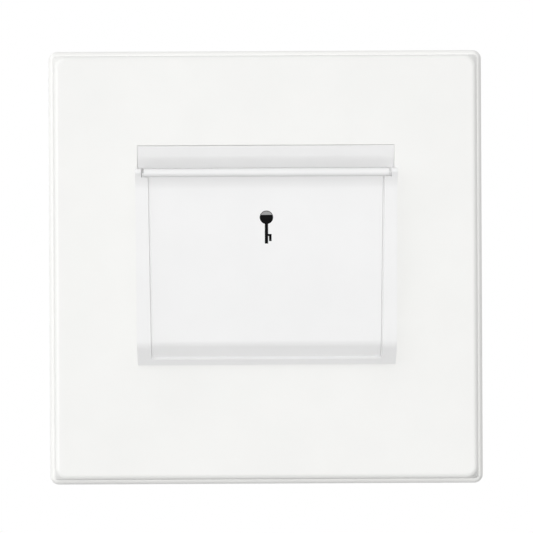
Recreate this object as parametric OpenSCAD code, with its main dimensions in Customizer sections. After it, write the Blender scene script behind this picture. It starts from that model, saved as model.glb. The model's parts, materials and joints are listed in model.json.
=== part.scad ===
// Hotel key card switch: a flush wall switch that stays closed while a key card stands in its pocket.
// Sizes are in millimetres. Every piece is drawn in a wall frame: x to the right, y up and z out of
// the wall, with z = 0 on the wall. upright() turns that frame so that the front faces -Y and +Z is up.

/* [Cover plate] */
// Side of the square cover plate at the wall
plate_w = 98; // [92:1:110]
// Height of the plate's face above the wall
plate_h = 9.5; // [9:0.5:12]
// Thickness of the plate's face and sides
plate_skin = 2.2; // [1.8:0.1:2.6]
// Width of the ledge around the foot of the plate
ledge_w = 1.2; // [0.8:0.1:2]
// Height of the ledge above the wall
ledge_h = 2.5; // [1.5:0.1:3]
// How far each side of the plate leans in from the ledge to the face
plate_draft = 0.9; // [0.3:0.1:1.2]
// Corner radius of the ledge
ledge_corner_r = 2; // [1:0.1:5]
// Corner radius of the plate's face
face_corner_r = 2.6; // [2.1:0.1:5]
// Radius of the plate's rounded front edge
plate_edge_r = 1.2; // [0.6:0.1:2]
// Gap around the pocket in the plate's cut-out
seam = 0.1; // [0.05:0.05:0.3]

/* [Card pocket] */
// Width of the key card
card_w = 54; // [50:0.5:56]
// Play between the card and each cheek
card_play = 0.15; // [0.1:0.05:0.4]
// Thickness of the hood's cheeks and foot
cheek_t = 1.3; // [1.1:0.1:1.6]
// Distance of the hood's foot below the middle of the plate
hood_drop = 21.7; // [20:0.1:24]
// Height of the hood from its foot to the top of its bead
hood_h = 43.1; // [40:0.1:46]
// How far the hood's top stands in front of the plate
hood_rise = 8; // [7:0.1:9]
// How far the hood's lip curls forward below the bead
lip_flare = 1; // [0.5:0.1:1.5]
// Height of the curled lip below the bead's middle
flare_h = 3.4; // [2.5:0.1:5]
// How much less the hood stands out at its bend than below the lip
hood_lean = 2.4; // [1.5:0.1:3]
// Height of the hood's sloping foot
foot_run = 5; // [4:0.1:7]
// Radius of the bend above the foot
bend_r = 6; // [2.6:0.1:6.5]
// Opening between the bead and the scoop, seen from the front
mouth_h = 2; // [1.4:0.1:4]
// Height of the scooped lead-in above the mouth
scoop_h = 3.6; // [2.8:0.1:6]
// Width of the raised rim beside the panel at its top
rim_w = 2.85; // [2.4:0.05:3.5]
// How much wider that rim is at its foot
rim_taper = 0.4; // [0:0.05:0.8]
// Width of the raised rim below the panel
sill_w = 2.05; // [1.7:0.05:3]
// Thickness of the rim in front of the panel
rim_t = 0.7; // [0.5:0.1:1]
// Thickness of the front panel
panel_t = 1.4; // [1.2:0.1:1.6]
// Radius of the bead along the panel's top edge
bead_r = 0.85; // [0.8:0.05:1.4]
// Thickness of the pocket's back wall
back_t = 1.4; // [1.2:0.1:1.8]

/* [Card lever] */
// Height of the lever's pivot above the middle of the plate
pivot_y = 10; // [9:0.5:11]
// Height of the nose's tip, below the middle when negative
nose_y = -7.6; // [-8:0.1:-6]
// Width of the lever's arm
lever_w = 10; // [9:0.5:11]
// Thickness of the lever's arm
arm_t = 1.7; // [1.5:0.1:1.8]
// Width of the nose
nose_w = 8; // [6:0.5:8.5]
// Diameter of the pivot pin
pin_d = 2; // [1.6:0.1:2.2]

/* [Switch module] */
// Width of the switch housing
module_w = 40; // [38:0.5:42]
// Height of the switch housing
module_h = 44; // [42:0.5:46]
// Depth of the switch base behind its lid
module_d = 22; // [20:0.5:26]
// Thickness of the lid
lid_t = 2; // [1.8:0.1:2.2]
// Diameter of the plunger
plunger_d = 6; // [5:0.1:6.5]
// Travel of the plunger, which is also the open contact gap
travel = 3; // [2.8:0.1:3.2]
// Distance of each contact from the middle
contact_x = 9; // [8.6:0.1:9.4]
// Diameter of the wire hole in a terminal
wire_d = 3.2; // [2.6:0.1:3.4]

/* [Mounting frame] */
// Distance between opposite fixing slots
slot_pitch = 60; // [59:0.5:63]
// Length of a fixing slot
slot_l = 7; // [6.5:0.5:8]
// Width of a fixing slot
slot_w = 4; // [3.4:0.1:4.5]
// Steel left between a slot and the frame's edge
frame_margin = 2; // [1.8:0.1:3]
// Thickness of the steel frame
frame_t = 1.2; // [1:0.1:1.4]

/* [Hidden] */
$fn = 64;

// Fits shared by all pieces
rest_gap = 0.1;
run_gap = 0.05;
free_gap = 0.3;
over = 1;

// Levels above the wall
z_face = plate_h;
z_skin = z_face - plate_skin;
z_guide = z_skin - rest_gap;
z_back = z_guide - back_t;
z_top = z_face + hood_rise;
z_lip = z_top - lip_flare;
z_bend = z_lip - hood_lean;
foot_step = 0.3;
z_foot = z_face + foot_step;

// Pocket layout
pocket_w = card_w + 2 * card_play;
hood_w = pocket_w + 2 * cheek_t;
window_w = hood_w - 2 * rim_w;
panel_w = pocket_w - 3 * rest_gap;
foot_y = -hood_drop;
bend_y = foot_y + foot_run;
top_y = foot_y + hood_h;
bead_y = top_y - bead_r;
lip_y = bead_y - bead_r - rest_gap;
flare_y = bead_y - flare_h;
flare_steps = 5;
sill_y = foot_y + sill_w;
inside_y = foot_y + cheek_t;
scoop_low = top_y + mouth_h;
scoop_top = scoop_low + scoop_h;
cheek_y = scoop_low - rest_gap;
lean = atan(hood_lean / (bead_y - bend_y));
ramp = atan((z_bend - z_foot) / foot_run);

// Card ribs on the back of the panel, which hold the card against the lever's nose
rib_t = 1.2;
rib_side = 4;
rib_below = 6;
rib_above = 9;
rib_lead = 3;
rib_x = lever_w / 2 + rib_side;
rib_low = nose_y - rib_below;
rib_high = nose_y + rib_above;
card_room = 2.8;
z_crest = z_guide + card_room;

// Lever layout
pin_r = pin_d / 2;
hub_wall = 0.9;
hub_r = pin_r + hub_wall;
pivot_z = z_back - hub_r - free_gap;
z_arm = z_back - rest_gap;
arm_tail = 4.6;
arm_low = nose_y - arm_tail;
nose_rise = 8.1;
nose_flat = 0.6;
nose_fall = 3.9;
notch_w = 5.4;
notch_drop = 5;
lug_t = 2;
lug_wall = 1.3;
lug_r = pin_r + lug_wall;
lug_x = lever_w / 2 + free_gap;

// Lever spring: a torsion spring around the pin, with one leg on the lid and one behind the arm
lever_wire = 0.5;
coil_gap = 0.55;
coil_r = pin_r + coil_gap;
coil_pitch = 1.15;
coil_turns = 3;
lid_leg_l = 9;
arm_leg_l = 8;
arm_leg_back = 1.2;
lid_leg = [-lid_leg_l, lever_wire / 2 + rest_gap - pivot_z];
arm_leg = [-arm_leg_l, -arm_leg_back];
leg_steps = 4;
curl_rings = 8;
wire_sides = 6;

// Plunger layout
plunger_r = plunger_d / 2;
z_tip = z_arm - arm_t - rest_gap;
dome_swell = 5;
dome_r = plunger_r + dome_swell;
guide_l = 4;
guide_wall = 1.6;
z_guide_end = -lid_t - guide_l;
collar_w = 1.2;
collar_r = plunger_r + collar_w;
collar_t = 2;
z_collar = z_guide_end - rest_gap - collar_t;
spigot_r = 1.5;
spigot_l = 6.8;

// Contacts
bridge_t = 0.8;
bridge_h = 6;
bridge_end = 0.6;
tip_r = 1.6;
tip_t = 0.75;
z_bridge = z_collar - bridge_t;
z_fixed_tip = z_bridge - tip_t - travel - run_gap;
strip_t = 1;
strip_w = 6.2;
z_strip = z_fixed_tip - tip_t - strip_t;
strip_low = nose_y - bridge_h / 2;

// Base layout
z_lid = -lid_t;
z_rear = z_lid - module_d;
wall_t = 1.6;
z_floor = z_rear + wall_t;
corner_cut = 8;
room_w = 29;
room_below = 5.5;
room_low = nose_y - room_below;
room_high = 6.5;
well_w = 11.2;

// Terminals
block_w = 8;
block_h = 8;
block_inset = 5.5;
block_high = module_h / 2 - block_inset;
block_low = block_high - block_h;
wire_y = block_low + block_h / 2;
wire_l = 7;
wire_funnel = 0.6;
room_above = 2;
strip_high = block_high + free_gap;
room_top = block_high + room_above;
spine_w = 8.8;
screw_z = z_strip + strip_t + wire_l / 2;
clamp_r = 1.5;
clamp_head_r = 2.7;
clamp_head_t = 2;
clamp_lift = 0.6;
driver_gap = 0.4;

// Return spring
return_wire = 0.6;
return_r = 2.5;
return_turns = 7;

// Mounting frame
frame_w = slot_pitch + slot_l + 2 * frame_margin;
opening_w = 20;
opening_room = 1.4;
opening_low = arm_low - opening_room;
opening_high = pivot_y + lug_r + opening_room;
frame_corner_r = 3;
flange_w = 13;
flange_drop = 0.5;
flange_h = z_back - flange_drop;
nib_w = 8;
nib_lift = 1;
nib_low = frame_t + nib_lift;
nib_t = 1.5;
nib_reach = 0.9;
leg_t = 1.5;
leg_x = frame_w / 2 + free_gap;

// Rivets and pocket screws
rivet_x = (module_w + room_w) / 4;
rivet_y = 12;
rivet_r = 1.5;
rivet_head_r = 2.4;
rivet_head_t = 0.9;
screw_r = 1.5;
screw_head_r = 2.7;
screw_head_t = 2;
screw_sink = screw_head_t + rest_gap;
collet_h = 2.2;
post_wall = 1;
post_r = screw_head_r + post_wall;
post_x = 24;
post_low = foot_y - seam - post_r - free_gap;
post_high = scoop_top + seam + post_r + free_gap;
slot_cut = 0.8;
back_side = 3.5;
back_x = hood_w / 2 + back_side;
back_low = post_low - post_r;
back_high = post_high + post_r;
z_collet = frame_t + collet_h;
tab_l = 6;
tab_hook = 0.6;
tab_tail = 1.3;
tab_inset = 9;
tab_ys = [foot_y + tab_inset, top_y - tab_inset];
post_spots = [for (x = [-post_x, post_x], y = [post_low, post_high]) [x, y]];
rivet_spots = [for (x = [-rivet_x, rivet_x], y = [-rivet_y, rivet_y]) [x, y]];

// Hood lines: front, with its lip curled forward, and foot at a depth d behind the hood's outer skin
function flare_z(y) = lip_flare * pow(min(max(y - flare_y, 0) / flare_h, 1), 2);
function front_z(y, d) = z_lip - tan(lean) * (bead_y - y) - d / cos(lean) + flare_z(y);
function ramp_z(y, d) = z_foot + tan(ramp) * (y - foot_y) - d / cos(ramp);
function bend_at(d) =
    let (slack = d * (1 / cos(lean) - 1 / cos(ramp)))
    let (rise = z_foot - z_lip + tan(lean) * bead_y - tan(ramp) * foot_y)
    let (y = (rise + slack) / (tan(lean) - tan(ramp)))
    [y, front_z(y, d)];

// Arc that rounds the corner p1 between the lines to p0 and p2
function unit(v) = v / norm(v);
function corner(p0, p1, p2, r, steps = 6) =
    let (a = unit(p0 - p1), b = unit(p2 - p1))
    let (half = acos(a * b) / 2)
    let (c = p1 + unit(a + b) * r / sin(half))
    let (s = p1 + a * r / tan(half) - c, e = p1 + b * r / tan(half) - c)
    let (from = atan2(s[1], s[0]), turn = atan2(e[1], e[0]) - from)
    let (sweep = turn > 180 ? turn - 360 : turn < -180 ? turn + 360 : turn)
    [for (k = [0:steps]) c + r * [cos(from + sweep * k / steps), sin(from + sweep * k / steps)]];
function lip_line(d, high) = [for (k = [0:flare_steps])
    let (y = flare_y + (high - flare_y) * k / flare_steps) [y, front_z(y, d)]];
function skin(d, low, high) =
    let (start = [low, ramp_z(low, d)], lip = lip_line(d, high))
    concat([start], corner(start, bend_at(d), lip[0], bend_r - d), lip);
function reversed(list) = [for (k = [len(list) - 1:-1:0]) list[k]];

// Round wire along a path: rings of points, their triangles, and the least gap between far points
function ring(path, k, axis, r) =
    let (t = unit(path[min(k + 1, len(path) - 1)] - path[max(k - 1, 0)]))
    let (u = unit(cross(t, axis)), v = cross(t, u))
    [for (s = [0:wire_sides - 1])
        path[k] + r * (cos(360 * s / wire_sides) * u + sin(360 * s / wire_sides) * v)];
function wire_points(path, axis, r) = [for (k = [0:len(path) - 1]) each ring(path, k, axis, r)];
function wire_faces(rings) = concat(
    [[for (s = [0:wire_sides - 1]) s]],
    [for (k = [0:rings - 2], s = [0:wire_sides - 1])
        let (a = k * wire_sides + s, b = k * wire_sides + (s + 1) % wire_sides)
        each [[a, a + wire_sides, b + wire_sides], [a, b + wire_sides, b]]],
    [[for (s = [wire_sides - 1:-1:0]) (rings - 1) * wire_sides + s]]);
function self_gap(path, wire) = min(
    [for (i = [0:len(path) - 1], j = [i + curl_rings / 2 + 1:1:len(path) - 1])
        norm(path[i] - path[j])]) - wire;

// Lever spring's path around the pivot, as [x, y, z]
function leg_turn(p, side) = atan2(p[1], p[0]) + side * acos(coil_r / norm(p));
lever_from = leg_turn(lid_leg, 1);
lever_sweep = leg_turn(arm_leg, -1) + 360 * coil_turns - lever_from;
lever_rings = round(lever_sweep / 360 * curl_rings);
lever_half = coil_pitch * lever_sweep / 720;
function coil_yz(a) = coil_r * [cos(a), sin(a)];
function at_x(x, p) = [x, p[0], p[1]];
lever_path = concat(
    [for (k = [0:leg_steps - 1])
        at_x(-lever_half, lid_leg + (coil_yz(lever_from) - lid_leg) * k / leg_steps)],
    [for (k = [0:lever_rings])
        at_x(lever_half * (2 * k / lever_rings - 1), coil_yz(lever_from + lever_sweep * k / lever_rings))],
    [for (k = [1:leg_steps])
        let (off = coil_yz(lever_from + lever_sweep))
        at_x(lever_half, off + (arm_leg - off) * k / leg_steps)]);

// Return spring's path on the plunger's axis
return_low = z_floor + return_wire / 2 + run_gap;
return_high = z_bridge - return_wire / 2 - run_gap;
return_rings = return_turns * curl_rings;
return_path = [for (k = [0:return_rings])
    let (a = 360 * k / curl_rings)
    [return_r * cos(a), return_r * sin(a), return_low + (return_high - return_low) * k / return_rings]];

echo(lever_spring_gap = self_gap(lever_path, lever_wire));
echo(return_spring_gap = self_gap(return_path, return_wire));

// Helpers
module upright() {
    rotate([90, 0, 0]) children();
}

// A [y, z] profile drawn out along x
module across(w) {
    rotate([90, 0, 90]) linear_extrude(w, center = true) children();
}

// An [x, z] profile drawn out along y
module along(h) {
    rotate([90, 0, 0]) linear_extrude(h, center = true) children();
}

module rod_x(l, r) {
    rotate([0, 90, 0]) cylinder(l, r, r, center = true);
}

module both_sides() {
    children();
    mirror([1, 0, 0]) children();
}

module rounded_box(w, h, r) {
    square([w - 2 * r, h], center = true);
    square([w, h - 2 * r], center = true);
    for (x = [-1, 1], y = [-1, 1]) {
        translate([x * (w / 2 - r), y * (h / 2 - r)]) circle(r);
    }
}

// Solid blank of the plate: a ledge at the wall, leaning sides and a rounded front edge. The ledge
// keeps its width round the corners.
module plate_blank() {
    least_r = 0.5;
    foot_corner_r = max(least_r, ledge_corner_r - ledge_w);
    side = plate_w / 2 - ledge_w;
    foot = side - foot_corner_r;
    crown = side - plate_draft - face_corner_r;
    sunk = ledge_h / 2;
    edge_sides = 24;
    linear_extrude(ledge_h) rounded_box(plate_w, plate_w, ledge_corner_r);
    hull() {
        for (x = [-1, 1], y = [-1, 1]) {
            translate([x * foot, y * foot, sunk]) {
                cylinder(sunk, foot_corner_r, foot_corner_r, $fn = edge_sides);
            }
            translate([x * crown, y * crown, z_face - plate_edge_r]) rotate_extrude($fn = edge_sides) {
                square([face_corner_r - plate_edge_r, plate_edge_r]);
                translate([face_corner_r - plate_edge_r, 0]) intersection() {
                    circle(plate_edge_r, $fn = edge_sides);
                    square(plate_edge_r);
                }
            }
        }
    }
}

// Space behind the plate, with sides that lean in like the outside
module plate_hollow() {
    low = plate_w / 2 - ledge_w - plate_skin;
    high = low - plate_draft;
    section = [[-low, -over], [low, -over], [high, z_skin], [-high, z_skin]];
    intersection() {
        along(plate_w) polygon(section);
        across(plate_w) polygon(section);
    }
}

// Snap leg on the back of the plate, at the right-hand edge of the frame
module snap_leg() {
    along(nib_w) polygon([
        [leg_x, z_skin + over],
        [leg_x, nib_low + nib_t],
        [leg_x - nib_reach, nib_low + nib_t / 2],
        [leg_x - nib_reach, nib_low],
        [leg_x + leg_t, nib_low - rest_gap],
        [leg_x + leg_t, z_skin + over]
    ]);
}

module cover_plate() {
    cut_h = scoop_top - foot_y + 2 * seam;
    color("Linen") upright() {
        difference() {
            plate_blank();
            plate_hollow();
            translate([0, foot_y - seam + cut_h / 2, z_skin - over]) {
                linear_extrude(plate_skin + 2 * over) square([hood_w + 2 * seam, cut_h], center = true);
            }
        }
        intersection() {
            for (turn = [0:90:270]) rotate(turn) snap_leg();
            linear_extrude(z_skin + rest_gap) square(plate_w, center = true);
        }
    }
}

// Scooped lead-in: a gentle slope that rolls over towards the card slot
module scoop() {
    step = 0.2;
    fall = 0.3;
    roll_run = 2.2;
    roll_r = 5;
    foot_rise = 0.9;
    roll = [scoop_low + roll_run, z_face - step - fall];
    crest = [scoop_top, z_face - step];
    foot = [scoop_low, z_guide + foot_rise];
    across(hood_w) polygon(concat(
        [[scoop_top, z_guide - rest_gap], crest],
        corner(crest, roll, foot, roll_r),
        [foot, [scoop_low, z_guide - rest_gap]]));
}

module pivot_lug() {
    translate([lug_x + lug_t / 2, 0, 0]) across(lug_t) {
        translate([pivot_y, pivot_z]) circle(lug_r);
        translate([pivot_y - lug_r, pivot_z]) square([2 * lug_r, z_back + rest_gap - pivot_z]);
    }
}

module pocket_back() {
    window_room = 1;
    window_low = arm_low - window_room;
    window_high = nose_y + nose_rise + window_room;
    window_side = nose_w + 2 * free_gap;
    sink_r = screw_head_r + rest_gap;
    color("WhiteSmoke") upright() difference() {
        union() {
            translate([0, (back_low + back_high) / 2, z_back]) {
                linear_extrude(back_t) rounded_box(2 * back_x, back_high - back_low, post_r);
            }
            scoop();
            for (spot = post_spots) translate([spot[0], spot[1], z_collet]) {
                cylinder(z_guide - z_collet, post_r, post_r);
            }
            both_sides() pivot_lug();
        }
        for (spot = post_spots) translate(spot) {
            translate([0, 0, z_guide - screw_sink]) cylinder(screw_sink + over, sink_r, sink_r);
            cylinder(z_face, screw_r + run_gap, screw_r + run_gap);
        }
        translate([-window_side / 2, window_low, z_back - over]) {
            cube([window_side, window_high - window_low, back_t + 2 * over]);
        }
        both_sides() for (y = tab_ys) {
            translate([pocket_w / 2 - rest_gap, y - tab_l / 2 - rest_gap, z_back - over]) {
                cube([cheek_t + 2 * rest_gap, tab_l + 2 * rest_gap, back_t + 2 * over]);
            }
        }
        translate([0, pivot_y, pivot_z]) rod_x(hood_w, pin_r + run_gap / 2);
    }
}

// Tab under a cheek that snaps through the pocket's back wall
module snap_tab() {
    inner = pocket_w / 2;
    outer = hood_w / 2;
    catch_z = z_back - rest_gap;
    along(tab_l) polygon([
        [inner, z_guide + rest_gap],
        [outer, z_guide + rest_gap],
        [outer, catch_z],
        [outer + tab_hook, catch_z],
        [outer, z_back - tab_tail],
        [inner, z_back - tab_tail]
    ]);
}

module pocket_hood() {
    shoulder_r = 0.7;
    shoulder_up = 0.9;
    shoulder_y = bead_y + shoulder_up;
    far_y = cheek_y + over;
    behind = z_guide - over;
    ahead = z_top + 2 * over;
    shoulder = [shoulder_y, front_z(shoulder_y, 0)];
    cheek_end = [cheek_y, z_face];
    window_low = window_w / 2 - rim_taper;
    window_high = window_w / 2;
    outline = concat(
        [[foot_y, z_guide]],
        skin(0, foot_y, bead_y),
        corner([bead_y, z_top], shoulder, cheek_end, shoulder_r),
        [cheek_end, [cheek_y, z_guide]]);
    cavity = concat([[inside_y, behind]], skin(rim_t, inside_y, far_y), [[far_y, behind]]);
    color("White") upright() {
        difference() {
            across(hood_w) polygon(outline);
            across(pocket_w) polygon(cavity);
            across(pocket_w) translate([lip_y, behind]) square([far_y - lip_y, ahead - behind]);
            translate([0, 0, behind]) linear_extrude(ahead - behind) polygon([
                [-window_low, sill_y], [window_low, sill_y], [window_high, far_y], [-window_high, far_y]
            ]);
        }
        both_sides() for (y = tab_ys) translate([0, y, 0]) snap_tab();
    }
}

module front_panel() {
    low = inside_y + rest_gap;
    inner = rim_t + panel_t;
    bead_proud = 0.15;
    bead_gap = 0.55;
    bead_z = z_top - bead_r + bead_proud;
    section = concat(skin(rim_t, low, bead_y), reversed(skin(inner, low, bead_y)));
    rib = [
        [rib_low, front_z(rib_low, inner) + rest_gap],
        [rib_low, z_crest],
        [rib_high - rib_lead, z_crest],
        [rib_high, front_z(rib_high, inner) + rest_gap]
    ];
    color("GhostWhite") upright() {
        across(panel_w) polygon(section);
        translate([0, bead_y, bead_z]) rod_x(pocket_w - 2 * bead_gap, bead_r);
        both_sides() translate([rib_x, 0, 0]) across(rib_t) polygon(rib);
    }
}

module pocket_screws() {
    seat = z_guide - screw_sink;
    color("Silver") upright() for (spot = post_spots) translate(spot) difference() {
        union() {
            translate([0, 0, rest_gap]) cylinder(seat, screw_r, screw_r);
            translate([0, 0, seat]) cylinder(screw_head_t, screw_head_r, screw_head_r);
        }
        translate([0, 0, seat + screw_head_t]) {
            cube([3 * screw_head_r, slot_cut, screw_head_t], center = true);
        }
    }
}

module card_lever() {
    tip_z = front_z(nose_y, rim_t + panel_t) - free_gap;
    root_z = z_arm - rest_gap;
    nose = [
        [nose_y + nose_rise, root_z],
        [nose_y + nose_flat, tip_z],
        [nose_y - nose_flat, tip_z],
        [nose_y - nose_fall, root_z]
    ];
    color("DimGray") upright() difference() {
        union() {
            across(lever_w) translate([arm_low, z_arm - arm_t]) square([pivot_y - arm_low, arm_t]);
            across(nose_w) polygon(nose);
            translate([0, pivot_y, pivot_z]) rod_x(lever_w, hub_r);
        }
        translate([0, pivot_y, pivot_z]) rod_x(lever_w + over, pin_r + run_gap);
        translate([-notch_w / 2, pivot_y - notch_drop, pivot_z - hub_r - over]) {
            cube([notch_w, notch_drop + hub_r + over, 2 * (hub_r + over)]);
        }
    }
}

module lever_pin() {
    color("Silver") upright() translate([0, pivot_y, pivot_z]) rod_x(2 * (lug_x + lug_t), pin_r);
}

module lever_spring() {
    color("SteelBlue") upright() translate([0, pivot_y, pivot_z]) {
        polyhedron(wire_points(lever_path, [1, 0, 0], lever_wire / 2), wire_faces(len(lever_path)));
    }
}

// Fixing slot through the frame, lying along x
module fixing_slot() {
    run = slot_l - slot_w;
    translate([0, 0, -over]) linear_extrude(frame_t + 2 * over) {
        square([run, slot_w], center = true);
        for (side = [-1, 1]) translate([side * run / 2, 0]) circle(slot_w / 2);
    }
}

module mounting_frame() {
    color("LightSteelBlue") upright() difference() {
        union() {
            linear_extrude(frame_t) rounded_box(frame_w, frame_w, frame_corner_r);
            for (turn = [0:90:270]) rotate(turn) {
                translate([frame_w / 2 - frame_t, -flange_w / 2, 0]) cube([frame_t, flange_w, flange_h]);
            }
            for (spot = post_spots) translate(spot) cylinder(z_collet, screw_head_r, screw_head_r);
        }
        translate([-opening_w / 2, opening_low, -over]) {
            cube([opening_w, opening_high - opening_low, frame_t + 2 * over]);
        }
        for (turn = [0:90:270]) rotate(turn) {
            translate([slot_pitch / 2, 0, 0]) fixing_slot();
            translate([frame_w / 2 - frame_t - over, -nib_w / 2 - free_gap, nib_low - free_gap]) {
                cube([frame_t + 2 * over, nib_w + 2 * free_gap, nib_t + 2 * free_gap]);
            }
        }
        for (spot = post_spots) translate([spot[0], spot[1], -over]) {
            cylinder(z_collet + 2 * over, screw_r + run_gap, screw_r + run_gap);
        }
        for (spot = rivet_spots) translate([spot[0], spot[1], -over]) {
            cylinder(frame_t + 2 * over, rivet_r + run_gap, rivet_r + run_gap);
        }
    }
}

module frame_rivets() {
    color("Gainsboro") upright() for (spot = rivet_spots) translate(spot) {
        translate([0, 0, z_rear - rivet_head_t]) cylinder(rivet_head_t, rivet_head_r, rivet_head_r);
        translate([0, 0, z_rear]) cylinder(frame_t - z_rear, rivet_r, rivet_r);
        translate([0, 0, frame_t]) cylinder(rivet_head_t, rivet_head_r, rivet_head_r);
    }
}

module module_outline() {
    half_w = module_w / 2;
    half_h = module_h / 2;
    polygon([
        [half_w, half_h - corner_cut], [half_w - corner_cut, half_h],
        [corner_cut - half_w, half_h], [-half_w, half_h - corner_cut],
        [-half_w, corner_cut - half_h], [corner_cut - half_w, -half_h],
        [half_w - corner_cut, -half_h], [half_w, corner_cut - half_h]
    ]);
}

module rivet_holes() {
    for (spot = rivet_spots) translate([spot[0], spot[1], z_rear - over]) {
        cylinder(2 * over - z_rear, rivet_r + run_gap, rivet_r + run_gap);
    }
}

module switch_lid() {
    boss_r = plunger_r + guide_wall;
    color("SlateGray") upright() difference() {
        union() {
            translate([0, 0, z_lid]) linear_extrude(lid_t) module_outline();
            translate([0, nose_y, z_guide_end]) cylinder(guide_l + rest_gap, boss_r, boss_r);
        }
        translate([0, nose_y, z_guide_end - over]) {
            cylinder(guide_l + lid_t + 2 * over, plunger_r + run_gap, plunger_r + run_gap);
        }
        rivet_holes();
    }
}

module switch_base() {
    side = (room_w - spine_w) / 2;
    funnel_r = wire_d / 2 + wire_funnel;
    driver_r = clamp_head_r + driver_gap;
    driver_l = 2 * (module_h / 2 - room_top + over);
    color("DarkSlateGray") upright() difference() {
        translate([0, 0, z_rear]) linear_extrude(module_d) module_outline();
        translate([-room_w / 2, room_low, z_strip]) cube([room_w, room_high - room_low, module_d]);
        translate([-well_w / 2, room_low, z_floor]) cube([well_w, room_high - room_low, module_d]);
        both_sides() {
            translate([spine_w / 2, room_low, z_strip]) cube([side, room_top - room_low, module_d]);
            translate([contact_x, wire_y, z_rear - over]) cylinder(module_d, funnel_r, funnel_r);
            translate([contact_x, module_h / 2, screw_z]) rotate([90, 0, 0]) {
                cylinder(driver_l, driver_r, driver_r, center = true);
            }
        }
        rivet_holes();
    }
}

module plunger() {
    color("Ivory") upright() translate([0, nose_y, 0]) {
        rotate_extrude() {
            intersection() {
                translate([0, z_collar]) square([plunger_r, z_tip - z_collar]);
                translate([0, z_tip - dome_r]) union() {
                    circle(dome_r);
                    translate([0, -2 * dome_r - travel]) square([dome_r, 2 * dome_r + travel]);
                }
            }
            translate([0, z_collar]) square([collar_r, collar_t]);
            translate([0, z_collar - spigot_l]) square([spigot_r, spigot_l + rest_gap]);
        }
    }
}

module contact_bridge() {
    span = 2 * (contact_x + tip_r + bridge_end);
    color("Goldenrod") upright() difference() {
        translate([-span / 2, nose_y - bridge_h / 2, z_bridge]) cube([span, bridge_h, bridge_t]);
        translate([0, nose_y, z_bridge - over]) {
            cylinder(bridge_t + 2 * over, spigot_r + run_gap, spigot_r + run_gap);
        }
    }
}

module bridge_tips() {
    color("White") upright() both_sides() {
        translate([contact_x, nose_y, z_bridge - tip_t]) cylinder(tip_t, tip_r, tip_r);
    }
}

module return_spring() {
    color("SteelBlue") upright() translate([0, nose_y, 0]) {
        polyhedron(wire_points(return_path, [0, 0, 1], return_wire / 2), wire_faces(len(return_path)));
    }
}

module fixed_contact_right() {
    color("Goldenrod") upright() difference() {
        translate([contact_x - strip_w / 2, strip_low, z_strip]) {
            cube([strip_w, strip_high - strip_low, strip_t]);
        }
        translate([contact_x, wire_y, z_strip - over]) {
            cylinder(strip_t + 2 * over, wire_d / 2 + free_gap, wire_d / 2 + free_gap);
        }
    }
}

module fixed_contact_left() {
    mirror([1, 0, 0]) fixed_contact_right();
}

module fixed_tips() {
    color("White") upright() both_sides() {
        translate([contact_x, nose_y, z_fixed_tip - tip_t]) cylinder(tip_t, tip_r, tip_r);
    }
}

module terminal_right() {
    block_z = z_strip + strip_t;
    color("DarkGoldenrod") upright() difference() {
        translate([contact_x - block_w / 2, block_low, block_z]) cube([block_w, block_h, z_lid - block_z]);
        translate([contact_x, wire_y, block_z - over]) cylinder(wire_l + over, wire_d / 2, wire_d / 2);
        translate([contact_x, wire_y, screw_z]) rotate([-90, 0, 0]) {
            cylinder(block_h, clamp_r + run_gap, clamp_r + run_gap);
        }
    }
}

module terminal_left() {
    mirror([1, 0, 0]) terminal_right();
}

module terminal_screws() {
    tip_y = wire_y + wire_d / 2 + free_gap;
    head_y = block_high + clamp_lift;
    color("Silver") upright() both_sides() translate([contact_x, 0, screw_z]) rotate([-90, 0, 0]) {
        difference() {
            union() {
                translate([0, 0, tip_y]) cylinder(head_y - tip_y, clamp_r, clamp_r);
                translate([0, 0, head_y]) cylinder(clamp_head_t, clamp_head_r, clamp_head_r);
            }
            translate([0, 0, head_y + clamp_head_t]) {
                cube([3 * clamp_head_r, slot_cut, clamp_head_t], center = true);
            }
        }
    }
}

cover_plate();
pocket_back();
pocket_hood();
front_panel();
pocket_screws();
card_lever();
lever_pin();
lever_spring();
mounting_frame();
frame_rivets();
switch_lid();
switch_base();
plunger();
contact_bridge();
bridge_tips();
return_spring();
fixed_contact_left();
fixed_contact_right();
fixed_tips();
terminal_left();
terminal_right();
terminal_screws();
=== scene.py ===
import json
import math

import bmesh
import bpy
from bpy.props import FloatProperty, FloatVectorProperty, IntProperty, PointerProperty
from mathutils import Matrix, Vector


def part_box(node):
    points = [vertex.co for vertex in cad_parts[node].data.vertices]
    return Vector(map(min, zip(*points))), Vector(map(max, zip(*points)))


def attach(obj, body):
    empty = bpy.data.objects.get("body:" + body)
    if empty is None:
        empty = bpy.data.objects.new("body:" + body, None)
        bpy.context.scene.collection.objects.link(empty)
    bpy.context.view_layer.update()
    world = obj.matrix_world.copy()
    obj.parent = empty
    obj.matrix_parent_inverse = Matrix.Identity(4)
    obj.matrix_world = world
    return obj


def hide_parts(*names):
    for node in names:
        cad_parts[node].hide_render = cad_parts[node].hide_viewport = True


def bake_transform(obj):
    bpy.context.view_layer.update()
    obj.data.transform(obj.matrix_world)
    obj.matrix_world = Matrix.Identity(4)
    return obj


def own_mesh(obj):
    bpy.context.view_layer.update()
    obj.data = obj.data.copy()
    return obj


bl_info = {
    "name": "Hotel key card switch",
    "version": (1, 0, 0),
    "blender": (4, 5, 0),
    "location": "3D View > Sidebar > Card switch",
    "description": "Builds the plate, the card pocket and the switch behind them around the packed solids",
    "category": "Object",
}

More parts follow.
